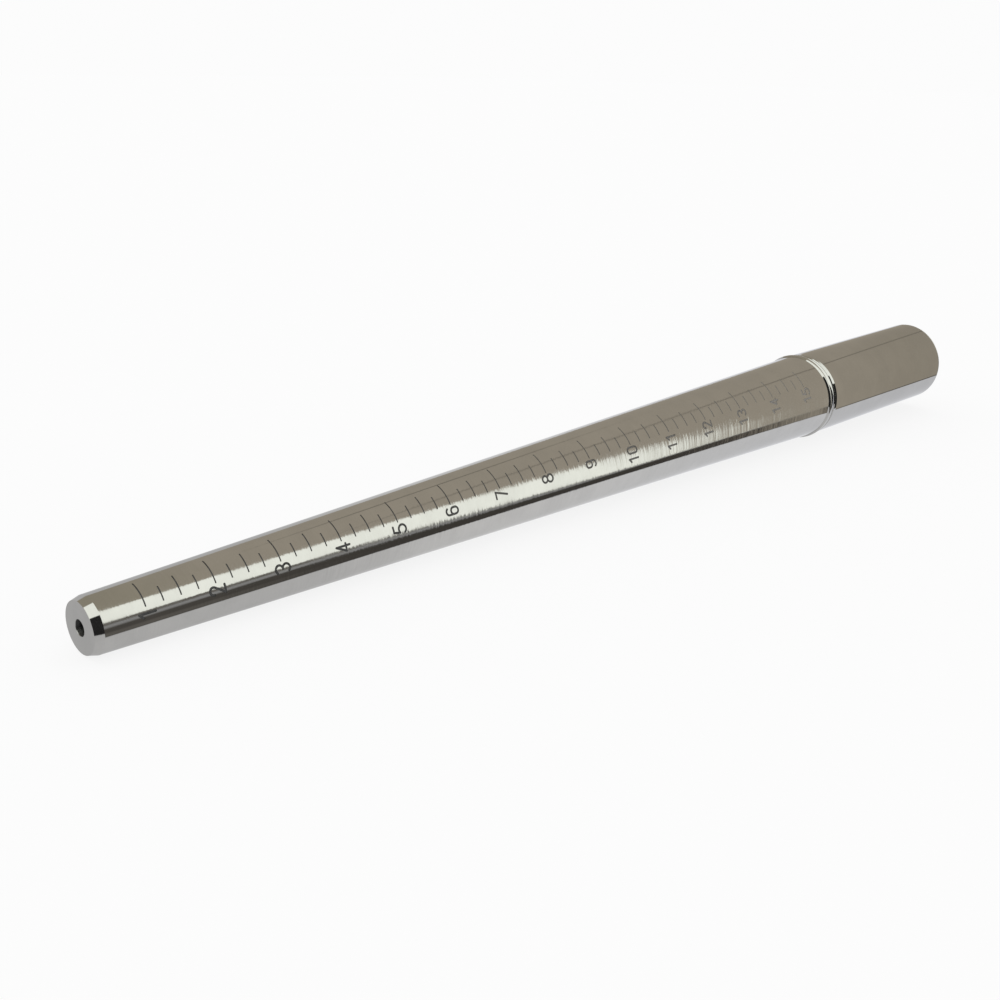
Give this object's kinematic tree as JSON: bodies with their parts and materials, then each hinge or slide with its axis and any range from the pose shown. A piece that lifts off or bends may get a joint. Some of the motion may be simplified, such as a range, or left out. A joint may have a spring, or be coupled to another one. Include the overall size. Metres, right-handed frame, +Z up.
{
  "type": "ring mandrel",
  "caption": "Tapered steel ring sizing mandrel with an engraved size scale, a centre-drilled tip and a plain cylindrical handle sleeve.",
  "frame": {"origin": "on the mandrel's axis, in the middle of the handle's clamping length", "axes": "+X along the axis from the tip towards the handle's rear end, +Z up, the engraved scale on the upper front side between -Y and +Z"},
  "size_m": [0.3024, 0.0254, 0.0254],
  "materials": {
    "ground_steel": "fine circumferential grinding marks",
    "polished_steel": "polished",
    "mark_fill": "dark filler, satin"
  },
  "bodies": {
    "root": {"sizing_spindle": "ground_steel", "handle_sleeve": "polished_steel", "whole_size_lines": "mark_fill", "half_size_lines": "mark_fill", "quarter_size_lines": "mark_fill", "numeral_1": "mark_fill", "numeral_2": "mark_fill", "numeral_3": "mark_fill", "numeral_4": "mark_fill", "numeral_5": "mark_fill", "numeral_6": "mark_fill", "numeral_7": "mark_fill", "numeral_8": "mark_fill", "numeral_9": "mark_fill", "numeral_10": "mark_fill", "numeral_11": "mark_fill", "numeral_12": "mark_fill", "numeral_13": "mark_fill", "numeral_14": "mark_fill", "numeral_15": "mark_fill"}
  },
  "joints": []
}
